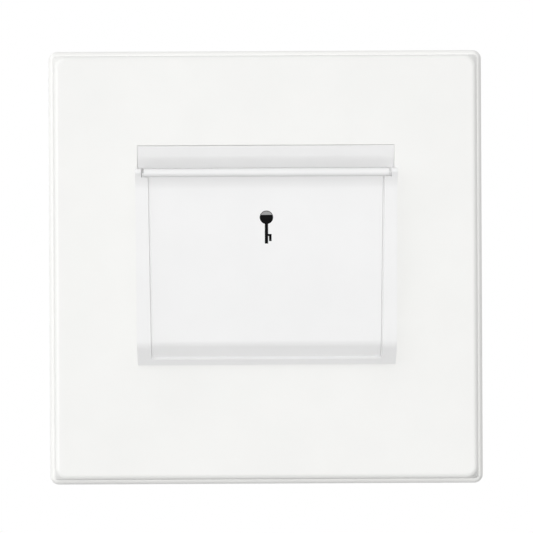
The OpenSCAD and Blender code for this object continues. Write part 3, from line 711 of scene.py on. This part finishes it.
class CARDSWITCH_OT_pocket(bpy.types.Operator):
    """Card pocket: the hood with its rim, the panel with its bead, and the back with its scooped mouth"""
    bl_idname = "card_switch.pocket"
    bl_label = "Card pocket"

    def hood(self, sizes):
        """Mesh of the hood: a wedge, hollowed from behind and open in front of the panel."""
        hood = Hood(sizes)
        shoulder_up = hood.bead_up + sizes.shoulder_up
        inside_up = hood.foot_up + sizes.cheek
        slot_up = hood.bead_up - sizes.bead - sizes.fit
        (low, sill_up), (high, top) = self.rim_line(sizes, hood)
        behind = sizes.guide - BEYOND
        ahead = hood.top_out + BEYOND
        outline = rounded([
            (hood.foot_up, sizes.guide, 0), *hood.skin(0, hood.foot_up, hood.bead_up),
            (shoulder_up, hood.front(shoulder_up), sizes.shoulder),
            (hood.cheek_top, FACE, 0), (hood.cheek_top, sizes.guide, 0)])
        cavity = rounded([(inside_up, behind, 0), *hood.skin(sizes.rim_t, inside_up, top), (top, behind, 0)])
        slot = [(slot_up, behind), (slot_up, ahead), (top, ahead), (top, behind)]
        window = [(-low, sill_up), (low, sill_up), (high, top), (-high, top)]
        wedge = self.block(outline, -hood.half, hood.half)
        hollow = self.block(cavity, -hood.inner, hood.inner)
        mouth = self.block(slot, -hood.inner, hood.inner)
        view = self.block(window, behind, ahead, forwards)
        slope = self.block(self.sill_slope(sizes, hood, sill_up, ahead), -low, low)
        bm = bmesh.new()
        bm.from_mesh(carved(wedge, hollow, mouth, view, slope))
        self.add_tabs(bm, sizes, hood)
        self.weigh_edges(bm, sizes, hood)
        return mesh_of(bm, "pocket_hood")

    def rim_line(self, sizes, hood):
        """Lower and upper end of the right rim's inner edge, as seen from the front."""
        high = hood.half - sizes.rim_w
        return (high - sizes.rim_taper, hood.foot_up + sizes.sill), (high, hood.cheek_top + BEYOND)

    def sill_slope(self, sizes, hood, sill_up, ahead):
        """Outline of what the slope along the sill's upper edge takes away, from the panel's skin out."""
        upper = Vector((sill_up, hood.foot(sill_up, sizes.rim_t)))
        lower = Vector((sill_up - sizes.sill_edge, hood.foot(sill_up - sizes.sill_edge)))
        clear = 2 * lower - upper
        return [(sill_up + BEYOND, upper.y), upper, clear, (clear.x, ahead), (sill_up + BEYOND, ahead)]

    def block(self, outline, start, end, way=sideways):
        """Mesh of one outline drawn out."""
        bm = bmesh.new()
        prism(bm, outline, start, end, way)
        return mesh_of(bm, "block")

    def add_tabs(self, bm, sizes, hood):
        """Adds the four tabs that snap through the pocket's back wall."""
        root = sizes.guide + sizes.fit
        catch = sizes.guide - sizes.back - sizes.fit
        end = -HOOD_HIGH.y
        for side in (-1, 1):
            inner = side * hood.inner
            outer = side * hood.half
            hook = side * HOOD_HIGH.x
            tab = [(inner, root), (outer, root), (outer, catch), (hook, catch), (outer, end), (inner, end)]
            for middle in (HOOD_LOW.z + sizes.tab_inset, PANEL_HIGH.z - sizes.tab_inset):
                prism(bm, tab, middle - sizes.tab / 2, middle + sizes.tab / 2, upwards)

    def weigh_edges(self, bm, sizes, hood):
        """Weighs the sharp edges for rounding: least at the back and the foot, more beside the panel."""
        weight = bm.edges.layers.float.new("bevel_weight_edge")
        bm.normal_update()
        for edge in bm.edges:
            if len(edge.link_faces) != 2 or edge.calc_face_angle() < EDGE_ANGLE:
                continue
            facing = [face.normal.y for face in edge.link_faces]
            spot = edge.verts[0].co
            level = max(vert.co.z for vert in edge.verts) - hood.foot_up
            rounding = sizes.edge
            if max(facing) > FACING or -spot.y < sizes.guide + sizes.fit or level < sizes.fit:
                rounding = sizes.fine_edge
            elif min(facing) < -FACING and abs(spot.x) < hood.inner - sizes.fit:
                rounding = sizes.fine_edge if level < sizes.sill + sizes.fit else sizes.rim_edge
            edge[weight] = rounding / sizes.edge

    def shadow_lines(self, sizes, hood):
        """Meshes of what the fine groove beside each rim takes out of the panel."""
        (low, sill_up), (high, top) = self.rim_line(sizes, hood)
        foot = hood.panel_low - BEYOND
        skin = hood.skin(sizes.rim_t + sizes.line_deep, foot, top)
        floor = self.block(rounded([(foot, 0, 0), *skin, (top, 0, 0)]), PANEL_LOW.x, PANEL_HIGH.x)
        lines = []
        for side in (-1, 1):
            inner = side * sizes.line_w
            strip = [
                (side * low, sill_up), (side * high, top),
                (side * high - inner, top), (side * low - inner, sill_up)]
            slab = self.block(strip, sizes.guide, hood.top_out, forwards)
            lines.append(carved(slab, floor))
        return lines

    def panel(self, sizes):
        """Mesh of the front panel: bent at its foot, a bead along its top, card ribs behind it."""
        hood = Hood(sizes)
        inner = sizes.rim_t + sizes.panel_t
        front = hood.skin(sizes.rim_t, hood.panel_low, hood.bead_up)
        back = hood.skin(inner, hood.panel_low, hood.bead_up)
        bead_out = -PANEL_LOW.y - sizes.bead
        bead = circle(sizes.bead, (hood.bead_up, bead_out))
        bead_half = hood.inner - sizes.bead_gap
        rib_out = sizes.guide + sizes.card_room
        rib = [
            (sizes.rib_low, hood.front(sizes.rib_low, inner) + sizes.fit), (sizes.rib_low, rib_out),
            (sizes.rib_high - sizes.rib_lead, rib_out),
            (sizes.rib_high, hood.front(sizes.rib_high, inner) + sizes.fit)]
        sheet = self.block(rounded(front + back[::-1]), PANEL_LOW.x, PANEL_HIGH.x)
        bm = bmesh.new()
        bm.from_mesh(carved(sheet, *self.shadow_lines(sizes, hood)))
        prism(bm, bead, -bead_half, bead_half)
        for middle in (-sizes.rib_x, sizes.rib_x):
            prism(bm, rib, middle - sizes.rib_t / 2, middle + sizes.rib_t / 2)
        return mesh_of(bm, "front_panel")

    def back(self, sizes):
        """Mesh of the pocket's back, with the scoop drawn on over the cheeks' ends to the mouth."""
        half = Hood(sizes).half
        under = sizes.guide - sizes.fit
        top = PANEL_HIGH.z + sizes.scoop
        low = PANEL_HIGH.z + sizes.mouth
        crest = FACE - sizes.crest
        scoop = rounded([
            (top, under, 0), (top, crest, 0),
            (PANEL_HIGH.z + sizes.roll_up, crest - sizes.roll_fall, sizes.roll),
            (low, sizes.guide + sizes.brink, sizes.brink_edge), (low, under, 0)])
        bm = bmesh.new()
        bm.from_mesh(joined_flats("pocket_back"))
        prism(bm, scoop, -half, half)
        return mesh_of(bm, "pocket_back")

    def execute(self, context):
        sizes = settings().pocket
        # Acrylonitrile butadiene styrene from a finely eroded mould, a cooler satin white than the plate
        white = moulded("Cool white ABS", settings().finish.pocket, roughness=0.42)
        add_rider("pocket_hood", self.hood(sizes), white, sizes.edge)
        add_rider("front_panel", self.panel(sizes), white, sizes.fine_edge)
        add_rider("pocket_back", self.back(sizes), white, sizes.fine_edge)
        return {"FINISHED"}


class CARDSWITCH_OT_key_sign(bpy.types.Operator):
    """Small plain key printed on the panel"""
    bl_idname = "card_switch.key_sign"
    bl_label = "Key sign"

    def outline(self, sign):
        """Outline of the key from its top: a round head, a shaft, and a bit that hangs beside the shaft."""
        half = sign.shaft / 2
        low = -sign.tall
        join = math.asin(half / sign.head)
        points = arc(sign.head, join - math.pi / 2, math.tau - 2 * join, TURN_STEPS, (0, -sign.head))
        near = half + sign.bit_gap
        far = half + sign.bit
        base = low + sign.bit_foot
        top = base + sign.bit_tall
        bar = top - sign.bit_bar
        points += [(-half, low), (half, low), (half, bar), (near, bar), (near, base), (far, base)]
        points += [(far, top), (half, top)]
        return points

    def cap(self, sign):
        """Outline of the cap, the grey painted highlight: what a level line cuts off the head inside its
        rim.
        """
        radius = sign.head - sign.rim
        first = math.asin((sign.head - sign.cap) / radius)
        return arc(radius, first, math.pi - 2 * first, TURN_STEPS, (0, -sign.head))

    def add_print(self, name, outlines, material, slot):
        """Adds ink on the panel's skin. An outline inside another one is left free of ink."""
        sign = settings().sign
        sizes = settings().pocket
        hood = Hood(sizes)
        curve = bpy.data.curves.new(name, "CURVE")
        curve.dimensions = "2D"
        curve.fill_mode = "BOTH"
        curve.extrude = sign.ink / 2
        for points in outlines:
            spline = curve.splines.new("POLY")
            spline.points.add(len(points) - 1)
            for spot, (x, y) in zip(spline.points, points):
                spot.co = (x, y, 0, 1)
            spline.use_cyclic_u = True
        mesh = settled(placed(curve))
        out = hood.front(sign.top, sizes.rim_t) + sign.ink / 2
        place = Matrix.Translation((0, -out, sign.top))
        mesh.transform(place @ Matrix.Rotation(math.pi / 2 + hood.lean, 4, "X"))
        mesh.materials.append(material)
        piece = placed(mesh, name)
        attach(piece, BODY_OF["front_panel"])

    def execute(self, context):
        sign = settings().sign
        finish = settings().finish
        # Pad-printed ink: flat and near black, with open pores that swallow most of the shine
        black = moulded("Black printing ink", finish.ink, roughness=0.7, relief=0.001, specular=0.1)
        # Grey ink over the top of the key's head: a painted highlight, where the head's upper part would
        # catch the light
        grey = moulded(
            "Screened printing ink", finish.highlight_grey, roughness=0.7, relief=0.001, specular=0.1)
        self.add_print("key_sign", [self.outline(sign), self.cap(sign)], black, SLOT_OF["switch_base"])
        self.add_print("key_sign_cap", [self.cap(sign)], grey, SLOT_OF["card_lever"])
        return {"FINISHED"}


class CARDSWITCH_OT_mouldings(bpy.types.Operator):
    """Card lever, plunger, switch lid and switch base"""
    bl_idname = "card_switch.mouldings"
    bl_label = "Switch mouldings"

    def execute(self, context):
        finish = settings().finish
        edge = settings().switch.edge
        # Acetal, a slippery grey plastic with a dull sheen
        grey = moulded("Grey acetal", finish.lever, roughness=0.38, ior=1.48)
        # Natural nylon, a waxy cream that clouds where the plastic is thick
        cream = moulded("Natural nylon", finish.plunger, roughness=0.35, drift=0.08, ior=1.53)
        # Thermoset pressed in a hot mould: dull black with fine mineral specks and flow marks
        black = moulded(
            "Black thermoset", finish.housing, roughness=0.5, relief=0.006, drift=0.25, ior=1.55)
        for node, material in (
                ("card_lever", grey), ("plunger", cream), ("switch_lid", black), ("switch_base", black)):
            add_rider(node, joined_flats(node), material, edge)
        return {"FINISHED"}


class CARDSWITCH_OT_pressings(bpy.types.Operator):
    """Steel mounting frame, brass contacts and terminals"""
    bl_idname = "card_switch.pressings"
    bl_label = "Pressed metal"

    def execute(self, context):
        finish = settings().finish
        edge = settings().switch.sheared
        # Cold-rolled sheet with bright zinc plating: faint rolling lines, cloudy patches
        steel = metal(
            "Zinc-plated sheet steel", finish.steel, tarnish=linear("AEB2B6"), roughness=0.36, line=0.25,
            stretch=(0.06, 1, 1), patch=5)
        # Half-hard brass strip, sheared and folded: warm, with soft rolling lines and darker patches
        brass = metal(
            "Brass strip", finish.brass, tarnish=linear("B8924A"), roughness=0.32, line=0.2,
            stretch=(1, 1, 0.08), patch=3)
        add_rider("mounting_frame", joined_flats("mounting_frame"), steel, edge)
        for node in ("contact_bridge", "fixed_contact_left", "fixed_contact_right",
                     "terminal_left", "terminal_right"):
            add_rider(node, joined_flats(node), brass, edge)
        return {"FINISHED"}


class CARDSWITCH_OT_fasteners(bpy.types.Operator):
    """Screws, rivets, contact tips and the lever's pin"""
    bl_idname = "card_switch.fasteners"
    bl_label = "Fasteners"

    def screw(self, sizes, long):
        """Corners of a pan-head screw with a thread drawn as rings, its middle at the origin."""
        low = -long / 2
        seat = long / 2 - sizes.screw_thick
        root = sizes.shank - sizes.thread
        corners = [(0, low, 0), (root, low, 0)]
        for k in range(1, 2 * int((seat - low) / sizes.pitch)):
            corners.append((sizes.shank if k % 2 else root, low + k * sizes.pitch / 2, 0))
        return corners + [
            (sizes.shank, seat, 0), (sizes.screw_head, seat, sizes.edge),
            (sizes.screw_head, long / 2, sizes.head_edge), (0, long / 2, 0)]

    def rivet(self, sizes, long):
        """Corners of a rivet with a low round head at each end, its middle at the origin."""
        end = long / 2
        under = end - sizes.rivet_thick
        return [
            (0, -end, 0), (sizes.rivet_head, -end, sizes.rivet_edge), (sizes.rivet_head, -under, 0),
            (sizes.shank, -under, 0), (sizes.shank, under, 0), (sizes.rivet_head, under, 0),
            (sizes.rivet_head, end, sizes.rivet_edge), (0, end, 0)]

    def disc(self, radius, thick, edge):
        """Corners of a round tip with rounded edges, its middle at the origin."""
        half = thick / 2
        return [(0, -half, 0), (radius, -half, edge), (radius, half, edge), (0, half, 0)]

    def slotted(self, sizes, long):
        """Screw with a driver's slot across its head."""
        bm = bmesh.new()
        size = (2 * (sizes.screw_head + BEYOND), sizes.slot, sizes.screw_thick, 1)
        place = Matrix.Translation((0, 0, long / 2)) @ Matrix.Diagonal(size)
        bmesh.ops.create_cube(bm, size=1, matrix=place)
        return carved(turned(self.screw(sizes, long)), mesh_of(bm, "slot"))

    def spread(self, tree, node, mesh, radius, material, place=OUTWARDS, rows=1):
        """Sets a turned part at the node's places, which its box gives, and adds the result."""
        low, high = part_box(node)
        mesh.transform(place)
        part = placed(mesh)
        built = grown(bpy.data.meshes.new(node), tree, {
            "Part": part,
            "Middle": (low + high) / 2,
            "Spacing across": high.x - low.x - 2 * radius,
            "Spacing up": high.z - low.z - 2 * radius,
            "Rows": rows,
            "Material": material})
        bpy.data.objects.remove(part)
        add_rider(node, built, material)

    def execute(self, context):
        sizes = settings().switch
        finish = settings().finish
        tree = fastener_tree()
        # Turned and zinc-plated steel: bright, with fine rings from the lathe
        bright = metal(
            "Zinc-plated turned steel", finish.steel, tarnish=linear("9EA3A8"), roughness=0.28, line=0.15)
        # Silver contact faces: soft white metal, dulled by the first sparks
        silver = metal(
            "Silver contact face", finish.silver, tarnish=linear("B9B7B0"), roughness=0.35, line=0.3,
            patch=1)
        low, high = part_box("pocket_screws")
        screw = self.slotted(sizes, high.y - low.y)
        self.spread(tree, "pocket_screws", screw, sizes.screw_head, bright, rows=2)
        low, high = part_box("terminal_screws")
        screw = self.slotted(sizes, high.z - low.z)
        self.spread(tree, "terminal_screws", screw, sizes.screw_head, bright, place=Matrix())
        low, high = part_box("frame_rivets")
        rivet = turned(self.rivet(sizes, high.y - low.y))
        self.spread(tree, "frame_rivets", rivet, sizes.rivet_head, bright, rows=2)
        for node in ("bridge_tips", "fixed_tips"):
            low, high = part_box(node)
            tip = turned(self.disc(sizes.tip, high.y - low.y, sizes.edge))
            self.spread(tree, node, tip, sizes.tip, silver)
        place = Matrix.Translation(PIN_MIDDLE) @ Matrix.Rotation(math.pi / 2, 4, "Y")
        pin = turned(self.disc(PIN_RADIUS, PIN_HIGH.x - PIN_LOW.x, sizes.edge), place)
        add_rider("lever_pin", pin, bright)
        return {"FINISHED"}


class CARDSWITCH_OT_springs(bpy.types.Operator):
    """Torsion spring of the lever and return spring of the plunger"""
    bl_idname = "card_switch.springs"
    bl_label = "Springs"

    curl: IntProperty(name="Curl steps", description="Points on each turn of a spring", default=24)
    lever_turns: IntProperty(name="Lever turns", description="Whole turns of the lever spring", default=3)
    return_turns: IntProperty(name="Return turns", description="Turns of the return spring", default=7)
    sides: IntProperty(name="Wire sides", description="Sides of the wire's section", default=12)

    def lever_path(self, spring):
        """Path of the lever spring: a straight leg on the lid, the coil round the pin, and a straight leg
        behind the arm. Points in the side view are (up, out) from the pin's middle."""
        radius = PIN_RADIUS + spring.lever_gap
        lid_end = Vector((-spring.lid_leg, spring.lever_wire / 2 + spring.lid_gap + PIN_MIDDLE.y))
        arm_end = Vector((-spring.arm_leg, -spring.arm_back))
        first = math.atan2(lid_end.y, lid_end.x) + math.acos(radius / lid_end.length)
        last = math.atan2(arm_end.y, arm_end.x) - math.acos(radius / arm_end.length)
        sweep = last + math.tau * self.lever_turns - first
        half = spring.lever_pitch * sweep / math.tau / 2
        count = round(sweep / math.tau * self.curl)
        path = [(-half, *lid_end)]
        for k, spot in enumerate(arc(radius, first, sweep, count)):
            path.append((half * (2 * k / count - 1), *spot))
        path.append((half, *arm_end))
        return [PIN_MIDDLE + Vector((x, -out, up)) for x, up, out in path]

    def return_path(self, spring):
        """Path of the return spring on the plunger's axis, from the base to the contact bridge."""
        low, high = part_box("return_spring")
        wire_r = spring.return_wire / 2
        rear = high.y - wire_r
        front = low.y + wire_r
        count = self.return_turns * self.curl
        coil = arc(high.x - wire_r, 0, math.tau * self.return_turns, count, (0, (low.z + high.z) / 2))
        return [Vector((x, rear + (front - rear) * k / count, z)) for k, (x, z) in enumerate(coil)]

    def add_coil(self, tree, node, path, wire, material):
        """Adds round wire along a path as the piece that stands for a CAD node."""
        line = bpy.data.meshes.new(node)
        line.from_pydata(path, [(k, k + 1) for k in range(len(path) - 1)], [])
        coil = grown(line, tree, {"Wire diameter": wire, "Sides": self.sides, "Material": material})
        return add_piece(node, coil, material)

    def execute(self, context):
        spring = settings().spring
        tree = wire_tree()
        # Drawn spring wire: grey steel with fine lines and a dull shine
        steel = metal(
            "Drawn spring wire", settings().finish.wire, tarnish=linear("7E8186"), roughness=0.3, line=0.1)
        path = self.lever_path(spring)
        lever = self.add_coil(tree, "lever_spring", path, spring.lever_wire, steel)
        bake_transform(lever)
        back = self.add_coil(tree, "return_spring", self.return_path(spring), spring.return_wire, steel)
        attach(back, BODY_OF["return_spring"])
        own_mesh(back)
        return {"FINISHED"}


class CARDSWITCH_OT_stage(bpy.types.Operator):
    """Pale floor, white surroundings, two lamps and the camera in front of the plate"""
    bl_idname = "card_switch.stage"
    bl_label = "Stage"

    def seen_white(self, tree):
        """One where a camera, mirror or glass ray looks, so that the surroundings show white."""
        path = add(tree, "ShaderNodeLightPath").outputs
        both = add(tree, "ShaderNodeMath", {"operation": "MAXIMUM"}, {
            0: path["Is Camera Ray"], 1: path["Is Glossy Ray"]})
        every = add(tree, "ShaderNodeMath", {"operation": "MAXIMUM"}, {
            0: both.outputs["Value"], 1: path["Is Transmission Ray"]})
        return every.outputs["Value"]

    def world(self, stage):
        """White light all round, a little stronger from the upper left."""
        world = bpy.data.worlds.new("Studio")
        world.use_nodes = True
        tree = world.node_tree
        tree.nodes.clear()
        sight = add(tree, "ShaderNodeTexCoord").outputs["Generated"]
        side = add(tree, "ShaderNodeVectorMath", {"operation": "DOT_PRODUCT"}, {0: sight, 1: WORLD_FROM})
        level = add(tree, "ShaderNodeMath", {"operation": "MULTIPLY_ADD"}, {
            0: side.outputs["Value"], 1: stage.slant, 2: stage.ambient})
        soft = add(tree, "ShaderNodeBackground", inputs={
            "Strength": level.outputs["Value"], "Color": (1, 1, 1, 1)})
        white = add(tree, "ShaderNodeBackground", inputs={"Strength": 1.0, "Color": (1, 1, 1, 1)})
        mixed = add(tree, "ShaderNodeMixShader", inputs={
            0: self.seen_white(tree), 1: soft.outputs["Background"], 2: white.outputs["Background"]})
        add(tree, "ShaderNodeOutputWorld", inputs={"Surface": mixed.outputs["Shader"]})
        bpy.context.scene.world = world

    def floor(self, stage):
        """White floor below the plate, which keeps a soft shadow and can be looked through from below."""
        level = PLATE_LOW.z - stage.floor_drop
        reach = stage.floor_reach
        bm = bmesh.new()
        bm.faces.new([bm.verts.new((x, y, level)) for x, y in (
            (-reach, -reach), (reach, -reach), (reach, reach), (-reach, reach))])
        floor = placed(mesh_of(bm, "floor"))
        material, tree, place = new_material("Matt white floor")
        speckle = add(tree, "ShaderNodeTexNoise", inputs={"Vector": place, "Scale": 1 / FLOOR_SPECKLE})
        rough = add(tree, "ShaderNodeMapRange", inputs={
            "Value": speckle.outputs["Fac"], "To Min": FLOOR_ROUGH[0], "To Max": FLOOR_ROUGH[1]})
        matt = add(tree, "ShaderNodeBsdfPrincipled", inputs={
            "Base Color": (*settings().finish.floor, 1), "Roughness": rough.outputs["Result"]})
        glow = add(tree, "ShaderNodeEmission", inputs={"Strength": 1.0})
        apart = add(tree, "ShaderNodeVectorMath", {"operation": "DISTANCE"}, {0: place, 1: (0, 0, level)})
        fade = add(tree, "ShaderNodeMapRange", {"interpolation_type": "SMOOTHSTEP"}, {
            "Value": apart.outputs["Value"], "From Min": stage.fade / 2, "From Max": stage.fade,
            "To Min": stage.glow, "To Max": 1.0})
        share = add(tree, "ShaderNodeMath", {"operation": "MULTIPLY"}, {
            0: self.seen_white(tree), 1: fade.outputs["Result"]})
        lit = add(tree, "ShaderNodeMixShader", inputs={
            0: share.outputs["Value"], 1: matt.outputs["BSDF"], 2: glow.outputs["Emission"]})
        clear = add(tree, "ShaderNodeBsdfTransparent")
        below = add(tree, "ShaderNodeNewGeometry").outputs["Backfacing"]
        shown = add(tree, "ShaderNodeMixShader", inputs={
            0: below, 1: lit.outputs["Shader"], 2: clear.outputs["BSDF"]})
        add(tree, "ShaderNodeOutputMaterial", inputs={"Surface": shown.outputs["Shader"]})
        floor.data.materials.append(material)

    def lamp(self, name, power, direction):
        """Distant lamp. It casts no shadow, like light through the cloth of a tent."""
        data = bpy.data.lights.new(name, "SUN")
        data.energy = power
        data.use_shadow = False
        placed(data).rotation_euler = direction.to_track_quat("Z", "Y").to_euler()
        return data

    def camera(self, stage):
        """Camera that faces the wall squarely from a little left of the plate's middle, as far away as the
        photograph's perspective tells. Its lens is shifted to bring the plate to the picture's middle."""
        data = bpy.data.cameras.new("Camera")
        wide = (PLATE_HIGH.x - PLATE_LOW.x) * stage.frame_px / stage.plate_px
        data.sensor_fit = "HORIZONTAL"
        data.angle = 2 * math.atan(wide / 2 / stage.distance)
        data.shift_x = (stage.aim_x - stage.stand_x) / wide
        data.shift_y = stage.aim_z / wide
        camera = placed(data)
        camera.location = (stage.stand_x, -stage.distance, 0)
        camera.rotation_euler = (Matrix.Rotation(stage.roll, 4, "Y") @ OUTWARDS).to_euler()
        bpy.context.scene.camera = camera

    def execute(self, context):
        stage = settings().stage
        self.world(stage)
        self.floor(stage)
        self.lamp("Front lamp", stage.front_power, FRONT_FROM)
        # The side lamp's light ends where it lands, so the hood's cheek throws none of it on to the plate
        self.lamp("Side lamp", stage.side_power, SIDE_FROM).cycles.max_bounces = 0
        self.camera(stage)
        context.scene.view_settings.view_transform = "Standard"
        return {"FINISHED"}


OPERATORS = (
    CARDSWITCH_OT_cover_plate,
    CARDSWITCH_OT_pocket,
    CARDSWITCH_OT_key_sign,
    CARDSWITCH_OT_mouldings,
    CARDSWITCH_OT_pressings,
    CARDSWITCH_OT_fasteners,
    CARDSWITCH_OT_springs,
    CARDSWITCH_OT_stage,
)


class CARDSWITCH_PT_sidebar(bpy.types.Panel):
    """Lists the pieces in the order in which they are built, then their sizes and colours"""
    bl_label = "Card switch"
    bl_idname = "CARDSWITCH_PT_sidebar"
    bl_space_type = "VIEW_3D"
    bl_region_type = "UI"
    bl_category = "Card switch"

    def draw(self, context):
        for operator in OPERATORS:
            self.layout.operator(operator.bl_idname)
        for name in SwitchSettings.__annotations__:
            group = getattr(settings(), name)
            box = self.layout.box()
            for value in type(group).__annotations__:
                box.prop(group, value)


CLASSES = (
    PlateSizes, PocketSizes, SignSizes, SwitchSizes, SpringSizes, Finishes, StageSizes, SwitchSettings,
    *OPERATORS, CARDSWITCH_PT_sidebar,
)


def register():
    for cls in CLASSES:
        bpy.utils.register_class(cls)
    bpy.types.Scene.card_switch = PointerProperty(type=SwitchSettings)


def unregister():
    del bpy.types.Scene.card_switch
    for cls in reversed(CLASSES):
        bpy.utils.unregister_class(cls)


def main():
    register()
    for operator in OPERATORS:
        group, name = operator.bl_idname.split(".")
        getattr(getattr(bpy.ops, group), name)()


if __name__ == "__main__":
    main()
